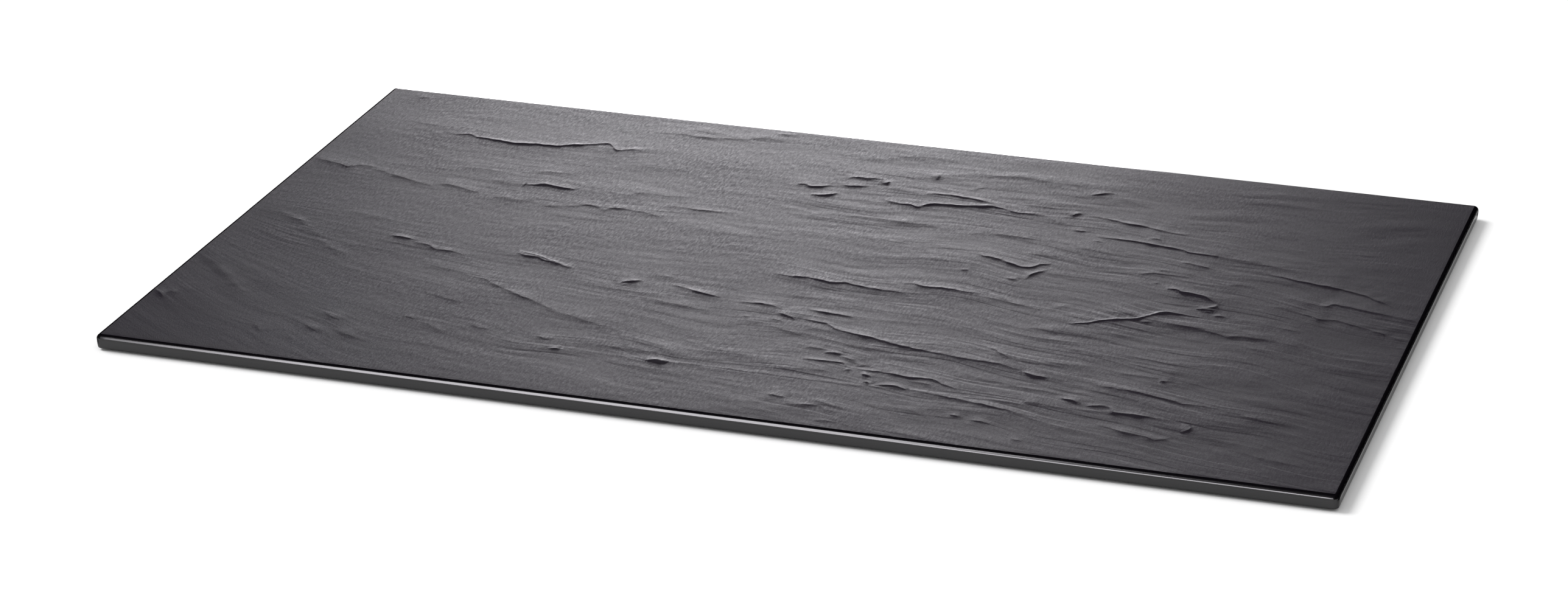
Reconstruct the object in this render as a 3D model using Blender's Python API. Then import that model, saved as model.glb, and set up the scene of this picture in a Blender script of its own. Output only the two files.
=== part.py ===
"""Melamine display tray with a riven slate face, standing on six anti-slip silicone feet.

The frame's origin is on the table under the tray's centre: +X along its length, +Y to its rear, +Z up.
"""

from collections import namedtuple
import math

import bmesh
import bpy
from mathutils import Vector, geometry
import numpy as np

MM = 0.001

# Board, a flat compression moulding of gastronorm size 1/1
LENGTH = 530 * MM
WIDTH = 325 * MM
BOARD_THICKNESS = 6.2 * MM
CORNER_RADIUS = 2.5 * MM
SHARPEST_CORNER = 0.1 * MM
EDGE_ROUND = 2 * MM
HEEL_ROUND = 1 * MM
SIDE_DRAFT = math.radians(4)

# Riven face: how far the boldest cleft stands up, and the shape of every cleft's section
CLEFT_RISE = 1.0 * MM
FACE_WIDTH = 1.6 * MM
LIP_LENGTH = 3 * MM
SHOULDER_LENGTH = 14 * MM
TROUGH_LENGTH = 7 * MM
LIP_SHARE = 0.5
TROUGH_SHARE = 0.3
UNDULATION = 0.15 * MM
WAVE_LENGTH = 74 * MM
RIM_FADE = 8 * MM

# Feet, each bonded into a round pocket of the underside
FOOT_DIAMETER = 12 * MM
FOOT_PROUD = 0.8 * MM
FOOT_EDGE = 0.6 * MM
POCKET_DEPTH = 1.2 * MM
POCKET_CLEARANCE = 0.3 * MM
ADHESIVE_FILM = 0.3 * MM
FOOT_INSET_X = 32 * MM
FOOT_INSET_Y = 32 * MM

# Fineness of the facets
FACE_PITCH = 12 * MM
RUN_PITCH = 5 * MM
RIM_PITCH = 16 * MM
CORNER_STEPS = 5
EDGE_STEPS = 5
HEEL_STEPS = 4
FOOT_SIDES = 28
FOOT_EDGE_STEPS = 4
SHARP_ANGLE = math.radians(25)

# A cleft is the broken edge of a layer of slate. Its run goes from left to right, seen from the front,
# in millimetres from the centre of a plate of the size below, and is stretched to the board. The layer
# behind the run stands up by the given share of CLEFT_RISE and breaks off towards the front.
PLATE = (530, 325)
Cleft = namedtuple("Cleft", "rise run")
CLEFTS = (
    # Rear left
    Cleft(1.00, ((-217, 111), (-200, 108), (-180, 106), (-160, 109), (-138, 119), (-131, 112), (-120, 116))),
    Cleft(0.85, ((-172, 57), (-153, 58), (-147, 60), (-132, 58))),
    Cleft(0.45, ((-264, 61), (-243, 54), (-231, 58), (-217, 50), (-198, 44), (-190, 47), (-165, 38),
                 (-144, 42))),
    Cleft(0.45, ((-141, 34), (-120, 41), (-110, 38), (-101, 42), (-79, 35))),
    # Rear middle
    Cleft(0.85, ((5, 89), (24, 83), (30, 89), (56, 94), (70, 90), (83, 92))),
    Cleft(0.55, ((3, 103), (34, 102), (58, 97))),
    Cleft(0.60, ((94, 121), (104, 127), (121, 115))),
    Cleft(0.70, ((64, 37), (87, 27), (99, 35))),
    # Rear right
    Cleft(0.50, ((99, 96), (116, 93), (135, 89), (148, 86))),
    Cleft(0.60, ((109, 73), (129, 72), (152, 67), (205, 58))),
    Cleft(0.60, ((190, 52), (214, 46), (230, 43), (250, 32))),
    Cleft(0.80, ((153, 23), (170, 19), (177, 11))),
    Cleft(0.45, ((199, 17), (222, 9), (235, 8), (258, -3))),
    # Front left
    Cleft(0.50, ((-190, -20), (-165, -28), (-149, -33))),
    Cleft(0.70, ((-129, -21), (-119, -24), (-100, -32))),
    Cleft(0.55, ((-165, -45), (-136, -54), (-115, -65), (-91, -79), (-54, -91))),
    # Front middle
    Cleft(0.75, ((-51, -37), (-37, -41), (-26, -45))),
    Cleft(0.60, ((-14, -11), (3, -11), (34, -15), (50, -17))),
    Cleft(0.80, ((2, -53), (25, -58), (36, -65), (65, -72), (90, -76), (118, -81))),
    Cleft(0.55, ((26, -97), (44, -96), (65, -101), (84, -101), (98, -108))),
    Cleft(0.45, ((58, -112), (87, -116), (110, -119), (135, -126))),
    # Front right
    Cleft(0.75, ((124, -27), (135, -20), (149, -14), (160, -3), (181, -4))),
    Cleft(0.45, ((145, -85), (172, -90), (202, -95), (232, -103))),
    Cleft(0.55, ((139, -103), (151, -108), (163, -109), (180, -111))),
)


def clear_scene():
    for obj in list(bpy.data.objects):
        bpy.data.objects.remove(obj, do_unlink=True)


def material(name, colour, roughness):
    made = bpy.data.materials.new(name)
    made.use_nodes = True
    shader = made.node_tree.nodes["Principled BSDF"]
    shader.inputs["Base Color"].default_value = (*colour, 1)
    shader.inputs["Roughness"].default_value = roughness
    shader.inputs["Metallic"].default_value = 0
    return made


def add_object(name, mesh, parent, location=(0, 0, 0)):
    obj = bpy.data.objects.new(name, mesh)
    bpy.context.collection.objects.link(obj)
    obj.parent = parent
    obj.location = location
    return obj


def mesh_from(bm, name, finish=None):
    """Turns the finished shape into a mesh. Walls of triangles and quads are shaded smooth, and caps flat."""
    bmesh.ops.recalc_face_normals(bm, faces=bm.faces)
    for face in bm.faces:
        face.smooth = len(face.verts) <= 4
    mesh = bpy.data.meshes.new(name)
    bm.to_mesh(mesh)
    bm.free()
    mesh.set_sharp_from_angle(angle=SHARP_ANGLE)
    if finish:
        mesh.materials.append(finish)
    return mesh


def loft(bm, rings):
    """Joins rings of as many points each by strips of quads, and returns the rings' vertices."""
    made = [[bm.verts.new(point) for point in ring] for ring in rings]
    for upper, lower in zip(made, made[1:]):
        for here, after in zip(range(len(upper)), (*range(1, len(upper)), 0)):
            bm.faces.new((upper[here], lower[here], lower[after], upper[after]))
    return made


def disc(radius, z, centre=(0, 0)):
    turns = (math.tau * side / FOOT_SIDES for side in range(FOOT_SIDES))
    return [(centre[0] + radius * math.cos(turn), centre[1] + radius * math.sin(turn), z) for turn in turns]


def outline(inset, z):
    """The board's outline, drawn in from its widest line: a ring of points from the rear right corner on."""
    radius = max(CORNER_RADIUS - inset, SHARPEST_CORNER)
    reach = (LENGTH / 2 - inset - radius, WIDTH / 2 - inset - radius)
    ring = []
    for corner, (side_x, side_y) in enumerate(((1, 1), (-1, 1), (-1, -1), (1, -1))):
        centre = Vector((side_x * reach[0], side_y * reach[1], z))
        for step in range(CORNER_STEPS + 1):
            turn = math.radians(90) * (corner + step / CORNER_STEPS)
            ring.append(centre + radius * Vector((math.cos(turn), math.sin(turn), 0)))
        straight = 2 * reach[corner % 2]
        direction = Vector((-side_x, 0, 0)) if corner % 2 == 0 else Vector((0, -side_y, 0))
        spans = math.ceil((LENGTH, WIDTH)[corner % 2] / RIM_PITCH)
        start = ring[-1]
        for span in range(1, spans):
            ring.append(start + direction * straight * span / spans)
    return ring


def edge_profile():
    """(inset, height) of the board's edge, from the rim of its face round and down to the underside."""
    rounding = min(EDGE_ROUND, BOARD_THICKNESS - HEEL_ROUND)
    profile = []
    for step in range(EDGE_STEPS + 1):
        turn = math.radians(90) * step / EDGE_STEPS
        height = BOARD_THICKNESS - rounding * (1 - math.cos(turn))
        profile.append((rounding * (1 - math.sin(turn)), height))
    drawn_in = (BOARD_THICKNESS - rounding - HEEL_ROUND) * math.tan(SIDE_DRAFT)
    for step in range(HEEL_STEPS + 1):
        turn = math.radians(90) * step / HEEL_STEPS
        profile.append((drawn_in + HEEL_ROUND * (1 - math.cos(turn)), HEEL_ROUND * (1 - math.sin(turn))))
    return profile


def stretched_run(cleft):
    """A cleft's run on the board, as (x, y) points at most RUN_PITCH apart."""
    corners = np.array(cleft.run) * (LENGTH / PLATE[0], WIDTH / PLATE[1])
    points = [corners[0]]
    for start, end in zip(corners, corners[1:]):
        spans = math.ceil(np.linalg.norm(end - start) / RUN_PITCH)
        points += [start + (end - start) * span / spans for span in range(1, spans + 1)]
    return np.array(points)


def offset_run(run, distance):
    """The run moved sideways, towards the rear where the distance is positive."""
    along = np.gradient(run, axis=0)
    along /= np.linalg.norm(along, axis=1, keepdims=True)
    return run + distance * np.stack((-along[:, 1], along[:, 0]), axis=1)


def distance_to_run(points, run):
    """Each point's distance to the run, positive on its rear side, and its place along it from 0 to 1."""
    nearest = np.full(len(points), np.inf)
    signed = np.zeros(len(points))
    place = np.zeros(len(points))
    for span, (start, end) in enumerate(zip(run, run[1:])):
        along = end - start
        share = np.clip((points - start) @ along / (along @ along), 0, 1)
        away = points - start - share[:, None] * along
        distance = np.linalg.norm(away, axis=1)
        rear = along[0] * away[:, 1] - along[1] * away[:, 0] >= 0
        closer = distance < nearest
        nearest[closer] = distance[closer]
        signed[closer] = np.where(rear, distance, -distance)[closer]
        place[closer] = ((span + share) / (len(run) - 1))[closer]
    return signed, place


def cleft_section(distance):
    """Height across a cleft for a rise of 1: a shoulder that climbs to a lip, the broken face, a trough."""
    behind = np.maximum(distance - FACE_WIDTH / 2, 0)
    before = np.maximum(-distance - FACE_WIDTH / 2, 0)
    lip = LIP_SHARE * np.exp(-behind / LIP_LENGTH) + (1 - LIP_SHARE) * np.exp(-behind / SHOULDER_LENGTH)
    trough = -TROUGH_SHARE * np.exp(-before / TROUGH_LENGTH)
    across = np.clip(distance / FACE_WIDTH + 0.5, 0, 1)
    return trough * (1 - across) + lip * across


def relief(points, runs):
    """Height of the riven face over its rim plane, at each (x, y) point."""
    x, y = points.T
    sway = np.sin(math.tau * x / (4 * WAVE_LENGTH))
    height = UNDULATION * np.sin(math.tau * y / WAVE_LENGTH + sway) * np.cos(math.tau * x / (3 * WAVE_LENGTH))
    for cleft, run in zip(CLEFTS, runs):
        distance, place = distance_to_run(points, run)
        taper = np.sin(math.pi * np.clip(place, 0, 1)) ** 0.5
        height += CLEFT_RISE * cleft.rise * taper * cleft_section(distance)
    inside = np.minimum(LENGTH / 2 - EDGE_ROUND - np.abs(x), WIDTH / 2 - EDGE_ROUND - np.abs(y))
    return height * np.clip(inside / RIM_FADE, 0, 1)


def face_points(runs):
    """Points of the face inside its rim, and the pairs of them that are edges along the clefts."""
    half = np.array((LENGTH / 2, WIDTH / 2)) - EDGE_ROUND - FACE_WIDTH
    points, edges = [], []
    for run in runs:
        for distance in (-FACE_WIDTH / 2, FACE_WIDTH / 2, FACE_WIDTH / 2 + LIP_LENGTH):
            line = offset_run(run, distance)
            line = line[(np.abs(line) < half).all(axis=1)]
            edges += [(len(points) + place, len(points) + place + 1) for place in range(len(line) - 1)]
            points += list(line)
    counts = [math.ceil(2 * side / FACE_PITCH) for side in half]
    grid = [np.linspace(-side, side, count + 2)[1:-1] for side, count in zip(half, counts)]
    lattice = np.stack(np.meshgrid(*grid), axis=-1).reshape(-1, 2)
    for run in runs:
        distance, _ = distance_to_run(lattice, run)
        lattice = lattice[np.abs(distance) > FACE_WIDTH + LIP_LENGTH]
    return np.array(points + list(lattice)), edges


def riven_face(bm, rim):
    """Covers the ring of rim vertices with the riven face, whose edges follow the clefts."""
    runs = [stretched_run(cleft) for cleft in CLEFTS]
    inner, cleft_edges = face_points(runs)
    first = len(rim)
    flat = [vertex.co.xy for vertex in rim] + [Vector(point) for point in inner]
    edges = [(place, (place + 1) % first) for place in range(first)]
    edges += [(first + start, first + end) for start, end in cleft_edges]
    inside_constraints = 1
    merge_distance = 0.01 * MM
    points, _, triangles, origins, _, _ = geometry.delaunay_2d_cdt(
        flat, edges, [], inside_constraints, merge_distance
    )
    heights = relief(np.array([tuple(point) for point in points]), runs)
    vertices = []
    for point, height, origin in zip(points, heights, origins):
        on_rim = [place for place in origin if place < first]
        rim_height = rim[0].co.z
        vertices.append(rim[on_rim[0]] if on_rim else bm.verts.new((*point, rim_height + height)))
    for triangle in triangles:
        bm.faces.new([vertices[place] for place in triangle])


def foot_places():
    """(name, x, y) of each foot: two rows of three."""
    x = LENGTH / 2 - FOOT_INSET_X
    y = WIDTH / 2 - FOOT_INSET_Y
    for row, side_y in (("front", -1), ("rear", 1)):
        for column, side_x in (("left", -1), ("middle", 0), ("right", 1)):
            yield f"foot_{row}_{column}", side_x * x, side_y * y


def pocket_cutter(parent):
    """Round plugs that leave the feet's pockets in the board's underside."""
    bm = bmesh.new()
    radius = FOOT_DIAMETER / 2 + POCKET_CLEARANCE
    for _, x, y in foot_places():
        top, bottom = loft(bm, (disc(radius, POCKET_DEPTH, (x, y)), disc(radius, -POCKET_DEPTH, (x, y))))
        bm.faces.new(top)
        bm.faces.new(reversed(bottom))
    cutter = add_object("pocket_cutter", mesh_from(bm, "pocket_cutter"), parent, (0, 0, FOOT_PROUD))
    cutter.hide_render = True
    cutter.display_type = "WIRE"
    return cutter


def tray_board(parent):
    bm = bmesh.new()
    rings = loft(bm, [outline(inset, height) for inset, height in edge_profile()])
    riven_face(bm, rings[0])
    bm.faces.new(reversed(rings[-1]))
    melamine = material("black_melamine", (0.035, 0.035, 0.037), 0.45)
    board = add_object("tray_board", mesh_from(bm, "tray_board", melamine), parent, (0, 0, FOOT_PROUD))
    pockets = board.modifiers.new("foot pockets", "BOOLEAN")
    pockets.operation = "DIFFERENCE"
    pockets.solver = "EXACT"
    pockets.object = pocket_cutter(parent)
    return board


def feet(parent):
    """Turned discs with a rounded edge where they stand on the table."""
    bm = bmesh.new()
    radius = FOOT_DIAMETER / 2
    top = FOOT_PROUD + POCKET_DEPTH - ADHESIVE_FILM
    rings = [disc(radius, top)]
    for step in range(FOOT_EDGE_STEPS + 1):
        turn = math.radians(90) * step / FOOT_EDGE_STEPS
        drawn_in = FOOT_EDGE * (1 - math.cos(turn))
        rings.append(disc(radius - drawn_in, FOOT_EDGE * (1 - math.sin(turn))))
    made = loft(bm, rings)
    bm.faces.new(made[0])
    bm.faces.new(reversed(made[-1]))
    silicone = material("black_silicone", (0.02, 0.02, 0.02), 0.7)
    mesh = mesh_from(bm, "foot", silicone)
    for name, x, y in foot_places():
        add_object(name, mesh, parent, (x, y, 0))


def main():
    clear_scene()
    tray = add_object("tray", None, None)
    tray_board(tray)
    feet(tray)


main()
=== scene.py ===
"""Melamine display tray with a riven slate face: its finished surfaces, its stage, lights and camera."""

from collections import namedtuple
import math

import bpy
from mathutils import Matrix, Vector, geometry, noise
import numpy as np


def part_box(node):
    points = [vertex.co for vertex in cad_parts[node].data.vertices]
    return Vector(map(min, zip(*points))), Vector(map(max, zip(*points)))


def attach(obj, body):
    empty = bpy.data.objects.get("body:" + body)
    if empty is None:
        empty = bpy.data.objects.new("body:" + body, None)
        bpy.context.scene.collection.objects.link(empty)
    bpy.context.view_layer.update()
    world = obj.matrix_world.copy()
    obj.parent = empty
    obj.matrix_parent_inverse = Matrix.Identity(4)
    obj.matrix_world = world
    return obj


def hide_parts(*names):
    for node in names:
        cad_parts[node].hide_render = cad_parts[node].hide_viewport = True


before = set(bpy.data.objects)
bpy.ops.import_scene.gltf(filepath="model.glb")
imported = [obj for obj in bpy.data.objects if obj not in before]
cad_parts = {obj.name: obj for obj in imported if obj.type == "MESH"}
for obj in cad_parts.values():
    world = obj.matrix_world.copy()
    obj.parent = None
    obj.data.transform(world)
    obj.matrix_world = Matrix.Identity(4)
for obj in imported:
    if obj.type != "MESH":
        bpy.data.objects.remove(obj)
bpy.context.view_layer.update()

bl_info = {
    "name": "Riven slate display tray",
    "version": (1, 0, 0),
    "blender": (4, 5, 0),
    "location": "3D View > Sidebar > Tray",
    "description": "Finishes the slate-look melamine tray and sets up its stage",
    "category": "Add Mesh",
}

MM = 0.001
FOOT_NODES = [name for name in sorted(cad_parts) if name.startswith("foot_")]
BOARD_LOW, BOARD_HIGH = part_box("tray_board")

# Fineness of the board's mesh
FACE_PITCH_X = 2.7 * MM
FACE_PITCH_Y = 1.35 * MM
RUN_PITCH = 1.5 * MM
RIM_PITCH = 2.6 * MM
CORNER_STEPS = 10
EDGE_STEPS = 10
HEEL_STEPS = 5
POCKET_SIDES = 48
BOARD_SHARP_ANGLE = math.radians(35)
# Points of the plan that are closer than this are one
MERGE_DISTANCE = 0.001 * MM
# A triangle of the underside with its middle within this share of a pocket's radius lies in the pocket
POCKET_INSIDE = 0.99

# Fineness of a foot's mesh
FOOT_SIDES = 48
FOOT_BANDS = 24
FOOT_SHARP_ANGLE = math.radians(40)

# Zones of the board's surface, one finish each
RIVEN, POLISHED, MOULDED = range(3)
FINISHES = {RIVEN: "Riven finish", POLISHED: "Polished finish", MOULDED: "Moulded finish"}

# A cleft is the broken edge of a layer of slate, and a crest is a raised line in it. A run is given in
# millimetres from the middle of the face, and most go from left to right, seen from the front. The layer on
# the left of a run's direction stands up by the rise, in millimetres, and breaks off in a hollow toe.
Cleft = namedtuple("Cleft", "rise run toe")
Crest = namedtuple("Crest", "rise run width")


def cleft(rise, *run, toe=3.0):
    return Cleft(rise * MM, np.array(run) * MM, toe * MM)


def crest(rise, *run, width=1.2):
    return Crest(rise * MM, np.array(run) * MM, width * MM)


REAR_LEFT_CLEFTS = (
    cleft(0.88, (-217, 110.5), (-210, 109), (-205, 111.5), (-200, 108.5), (-190, 107.5), (-180, 106),
          (-170, 108), (-160, 108.5), (-152, 112.5), (-145, 115), (-138, 119), (-134, 115), (-131, 111.5),
          (-126, 114), (-120, 115.5), toe=3.5),
    cleft(1.0, (-156, 57.5), (-152, 58), (-147, 60), (-140, 58.5), (-131, 58), toe=2.5),
    cleft(0.3, (-173, 58), (-164, 57.5), (-152, 57.5)),
    cleft(0.45, (-264, 61), (-257, 58.5), (-249, 56.5), (-243, 54), (-239, 57), (-231, 58.5)),
    cleft(0.42, (-228, 54.5), (-217, 50), (-204, 45), (-197, 43.5)),
    cleft(0.42, (-194, 45.5), (-190, 47), (-181, 44), (-172, 41)),
    cleft(0.35, (-165, 38), (-159, 39), (-152, 38), (-144, 41.5)),
    cleft(0.42, (-141, 34), (-135, 35.5), (-129, 37), (-124, 39), (-120, 41.5), (-115, 40.5), (-110, 38),
          (-107, 41.5), (-101, 41.5), (-92, 40.5), (-85, 38), (-79, 35)),
    cleft(0.35, (-121, 140.5), (-110, 141.5), (-101, 140.5), (-90, 141.5), (-82, 143), (-77, 144),
          (-71, 148), (-60, 147.5)),
    cleft(0.3, (-108, 149), (-101, 148), (-90, 147.5)),
    cleft(0.25, (-249, 150), (-242, 153.5)),
    cleft(0.4, (-157, 73), (-152, 76), (-145, 76.5), (-135, 78.5)),
    cleft(0.25, (-192, 70.5), (-177, 70), (-166, 70)),
    cleft(0.25, (-125, 95.5), (-119, 95), (-111, 96), (-91, 96), toe=5),
    cleft(0.3, (-129, 63), (-117, 61), (-106, 59), (-102, 63), (-90, 63), (-77, 65.5)),
    cleft(0.2, (-215, 81), (-202, 80)),
    cleft(0.2, (-237, 120), (-222, 119), (-207, 118.5)),
    cleft(0.15, (-135, 25), (-121, 25.5), (-107, 25)),
    cleft(0.45, (-85, 51.5), (-77, 51.5), (-66, 50.5), (-51, 52.5)),
    cleft(0.3, (-66, 155.5), (-60, 156), (-55, 157.5)),
)
REAR_MIDDLE_CLEFTS = (
    cleft(0.85, (5, 89), (10, 86.5), (15, 85), (20, 85), (24, 83.5), (27, 87.5), (30, 89.5), (40, 90.5),
          (45, 91.5), (51, 93), (56, 94.5), (61, 93), (65, 91.5), (70, 90), (76, 91.5), (82.5, 92)),
    cleft(0.3, (82, 91), (86, 87), (93, 83)),
    cleft(0.7, (22, 101), (34, 102), (40, 101), (46, 100.5), (51, 98.5), (57.5, 97.5)),
    cleft(0.3, (2.5, 103), (11, 102.5), (19, 102.5)),
    cleft(0.65, (94.5, 121), (99, 124), (104.5, 127.5)),
    cleft(0.25, (105, 128.5), (112, 120.5), (121, 115)),
    cleft(0.7, (92.5, 93), (94, 96), (96.5, 98.5)),
    cleft(1.1, (22.5, 119.5), (22.5, 123), (20, 127), toe=4),
    cleft(0.6, (-17.5, 108.5), (-15, 111), (-7.5, 111.5), (0, 113.5)),
    cleft(0.85, (1.5, 106.5), (2, 109), (3, 111.5)),
    cleft(0.65, (-17.5, 100.5), (-14, 99.5), (-10, 100.5), (-5, 102)),
    cleft(0.8, (-38, 95.5), (-34, 95.5), (-30, 94), (-25, 95.5), (-21, 98)),
    cleft(0.8, (-28, 84.5), (-22.5, 85), (-17.5, 87.5), (-15.5, 90.5)),
    cleft(0.35, (25, 128.5), (35, 130.5), (47.5, 132), (57.5, 134.5), (62.5, 134), (75, 132), (90, 132)),
    cleft(0.25, (-22.5, 135.5), (-10, 137.5), (-2.5, 142.5), (5, 145.5), (22.5, 148)),
    cleft(0.35, (-17.5, 63), (-5, 64), (10, 65.5), (22.5, 63.5), (34, 64), (40, 62), (49, 63)),
    cleft(0.4, (54, 60.5), (62.5, 61.5), (70, 62.5), (80, 61.5), (92.5, 60.5)),
    cleft(0.9, (64, 36.5), (70, 35), (76.5, 33), (81.5, 30), (87.5, 27.5), (91.5, 28.5), (94, 33),
          (99, 35.5)),
    cleft(0.8, (92, 13.5), (93, 19), (95.5, 24), (99, 27.5)),
    cleft(0.5, (84, 13.5), (87, 13), (90, 13)),
    cleft(0.5, (62, 17.5), (64, 17), (66.5, 17.5)),
    cleft(0.25, (32.5, 26), (50, 25.5), (60, 25.5), (72.5, 27.5)),
    cleft(0.25, (4.5, 41), (15, 41), (39, 42.5), (50, 41)),
    cleft(0.3, (42, 111), (44, 114), (46.5, 116.5)),
    cleft(0.2, (70, 101), (76, 101), (82.5, 101.5)),
    cleft(0.25, (85, 44), (92, 44.5), (100, 45)),
    cleft(0.25, (94, 57.5), (107.5, 56.5), (122.5, 59)),
)
REAR_RIGHT_CLEFTS = (
    cleft(0.65, (98.5, 96), (104, 96), (110, 95), (116.5, 93), (122.5, 91.5), (127.5, 91), (135, 88.5),
          (147.5, 86.5), toe=6),
    cleft(0.5, (97.5, 77.5), (101, 77), (104, 77.5)),
    cleft(0.8, (108.5, 73), (115, 72.5), (121, 72.5), (129, 72.5), (135, 71), (141, 70), (150, 68.5),
          (152.5, 66.5), (160, 66), (166, 65.5)),
    cleft(0.4, (156, 66.5), (172.5, 65), (185, 63), (195, 60.5), (205, 58.5)),
    cleft(0.3, (109, 66.5), (112, 67.5), (115, 67)),
    cleft(0.4, (132, 78), (135, 78), (139, 77.5)),
    cleft(0.55, (152.5, 54), (155, 54.5), (160, 53), (166.5, 51)),
    cleft(0.8, (190, 52.5), (197.5, 51), (205, 48.5), (214, 46.5), (222.5, 45), (230, 43), (240, 38),
          (250, 32), toe=9),
    cleft(0.55, (137, 35), (144, 38.5), (152, 38.5), (160.5, 38)),
    cleft(0.4, (167.5, 36.5), (171, 37.5), (177.5, 34), (180, 36), (186.5, 36), (197.5, 32.5)),
    cleft(0.5, (204, 29), (210, 27.5), (219, 24), (222.5, 24), (225, 27.5), (232.5, 25.5), (245, 23),
          (262, 19)),
    cleft(0.5, (146.5, 26), (147.5, 27.5), (149, 28.5)),
    cleft(1.15, (153, 23), (157.5, 22.5), (160, 20.5), (165, 20), (170, 18.5), (174, 16), (176.5, 13.5)),
    cleft(0.8, (170.5, 4), (173, 4.5), (175.5, 4.5), (178, 5)),
    cleft(0.7, (179, -0.5), (182, -0.5), (185, -0.5)),
    cleft(0.55, (199, 17.5), (207.5, 16), (220, 10.5), (222.5, 9), (229, 10), (235, 8), (247.5, 3),
          (262, -4)),
)
FRONT_LEFT_CLEFTS = (
    cleft(0.6, (-190, -20), (-184, -20.5), (-179, -21.5)),
    cleft(0.5, (-177.5, -24.5), (-170, -25.5), (-165, -29), (-157.5, -29), (-152.5, -30.5), (-149, -33)),
    cleft(0.8, (-129, -21.5), (-124, -24.5), (-119, -24.5), (-115, -26.5), (-110, -28.5), (-105, -30),
          (-100, -32.5)),
    cleft(0.25, (-165, -45.5), (-152.5, -48), (-138, -53)),
    cleft(0.46, (-138, -54), (-130.5, -55.5), (-126, -59), (-120, -62.5), (-115, -65.5), (-109, -69),
          (-102.5, -71.5), (-97.5, -75), (-89, -79.5)),
    cleft(0.3, (-91, -79), (-85, -81), (-72.5, -86), (-54, -91)),
    cleft(0.4, (-119, -104), (-114, -106), (-109, -106)),
    cleft(0.35, (-87.5, -107), (-82.5, -109), (-79, -107)),
    cleft(0.3, (-149, -104), (-146, -104.5), (-142.5, -105.5)),
    cleft(0.35, (-182.5, -110), (-179, -113), (-172.5, -116)),
    cleft(0.6, (-266, -107), (-260, -110.5), (-255.5, -116), toe=4),
    cleft(0.25, (-206, -131), (-203.5, -133), (-200, -138)),
    cleft(0.3, (-172.5, -125), (-165, -129.5), (-156, -133.5)),
    cleft(0.25, (-184, -125), (-181, -128), (-177.5, -130.5)),
    cleft(0.3, (-149, -77), (-140, -80), (-130, -83)),
    cleft(0.25, (-235, -20), (-226, -25), (-216, -31)),
    cleft(0.25, (-139, -107), (-133, -111), (-126, -115.5)),
)
FRONT_MIDDLE_CLEFTS = (
    cleft(0.75, (-74.5, -42), (-70.5, -39), (-65.5, -36)),
    cleft(0.4, (-73, -43.5), (-71.5, -43), (-69.5, -42)),
    cleft(0.7, (-51.5, -37.5), (-45, -38.5), (-37.5, -41.5), (-31.5, -43), (-26, -44.5)),
    cleft(0.7, (12, -45.5), (21.5, -47), (34.5, -48)),
    cleft(0.55, (-18.5, -45.5), (-7.5, -45.5), (2.5, -47.5), toe=6),
    cleft(0.7, (1.5, -52.5), (6.5, -55), (11, -57.5)),
    cleft(0.75, (13.5, -56), (19, -57), (25, -58), (30, -62.5), (36.5, -65), (44, -66.5), (50, -68),
          (56.5, -70.5), (65, -72.5), (75, -74), (82.5, -75.5)),
    cleft(0.55, (76, -74), (90, -76.5), (106, -77.5), (112.5, -80), (117.5, -81.5)),
    cleft(0.35, (2.5, -67), (11.5, -70.5), (19, -73)),
    cleft(0.35, (0, -59.5), (4, -60.5), (7.5, -60.5)),
    cleft(0.35, (-12, -60), (-10, -60.5), (-8, -60)),
    cleft(0.25, (-10, -64), (-5, -64.5), (0, -64.5)),
    cleft(0.35, (-60, -54), (-45, -56.5), (-25, -59.5), toe=8),
    cleft(0.4, (24, -84), (28, -84.5), (32.5, -85)),
    cleft(0.75, (33.5, -88), (37.5, -87.5), (41.5, -88)),
    cleft(0.5, (41, -90), (45, -91.5), (49, -93)),
    cleft(0.45, (49.5, -96.5), (51.5, -97), (54, -97)),
    cleft(0.45, (46.5, -104), (48, -102.5), (50, -101.5)),
    cleft(0.4, (75, -107), (80, -106.5), (86, -106.5)),
    cleft(0.7, (26, -97), (34, -96.5), (41, -96), (44, -96.5), (47.5, -99.5), toe=5),
    cleft(0.7, (51, -100), (65, -101), (75, -102.5), (84, -101.5), (89, -105), (91.5, -105.5),
          (98, -109)),
    cleft(0.75, (54.5, -105), (57, -105.5), (60, -107)),
    cleft(0.75, (57.5, -112.5), (59.5, -112.5), (61.5, -113.5)),
    cleft(0.85, (63.5, -114), (69, -113), (73, -113.5), (77, -114.5)),
    cleft(0.6, (79.5, -116.5), (87.5, -116), (97.5, -117.5), (110, -119.5), (122.5, -122.5),
          (136, -126)),
    cleft(0.6, (-77.5, -119), (-75, -118), (-72.5, -117.5)),
    cleft(0.85, (-35.5, -118.5), (-31, -117), (-25.5, -117)),
    cleft(0.55, (24, -136), (28, -136.5), (32.5, -137)),
    cleft(0.45, (33.5, -142), (40, -142), (47.5, -140.5), (53, -146)),
    cleft(0.25, (-22.5, -94), (-10, -98), (7.5, -100.5), (15, -105)),
    cleft(0.35, (16.5, -108), (27.5, -107.5), (40, -106)),
    cleft(0.3, (-69, -107), (-60, -108.5), (-50, -108.5), (-40, -109), (-32.5, -108)),
    cleft(0.65, (42.5, -5.5), (47.5, -4.5), (52.5, -6.5), (59, -5.5), (65, -5.5), (70, -6.5),
          (79, -6.5)),
    cleft(0.4, (81, -9.5), (90, -10.5), (95, -13), (103, -14.5), (107.5, -17)),
    cleft(0.7, (-14, -11.5), (-5, -12), (2.5, -11.5), (12.5, -14), (19, -12.5), (27.5, -14.5),
          (34, -15.5), (40, -15.5), (45, -15.5), (50, -17), toe=5),
    cleft(0.2, (-64, -27.5), (-58, -28), (-52.5, -29)),
    cleft(0.25, (80, -131), (88, -136), (96, -140.5)),
    cleft(0.25, (50, -154.5), (55, -154), (60, -154.5)),
    cleft(0.2, (17.5, -142.5), (21, -144), (25, -146)),
)
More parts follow.
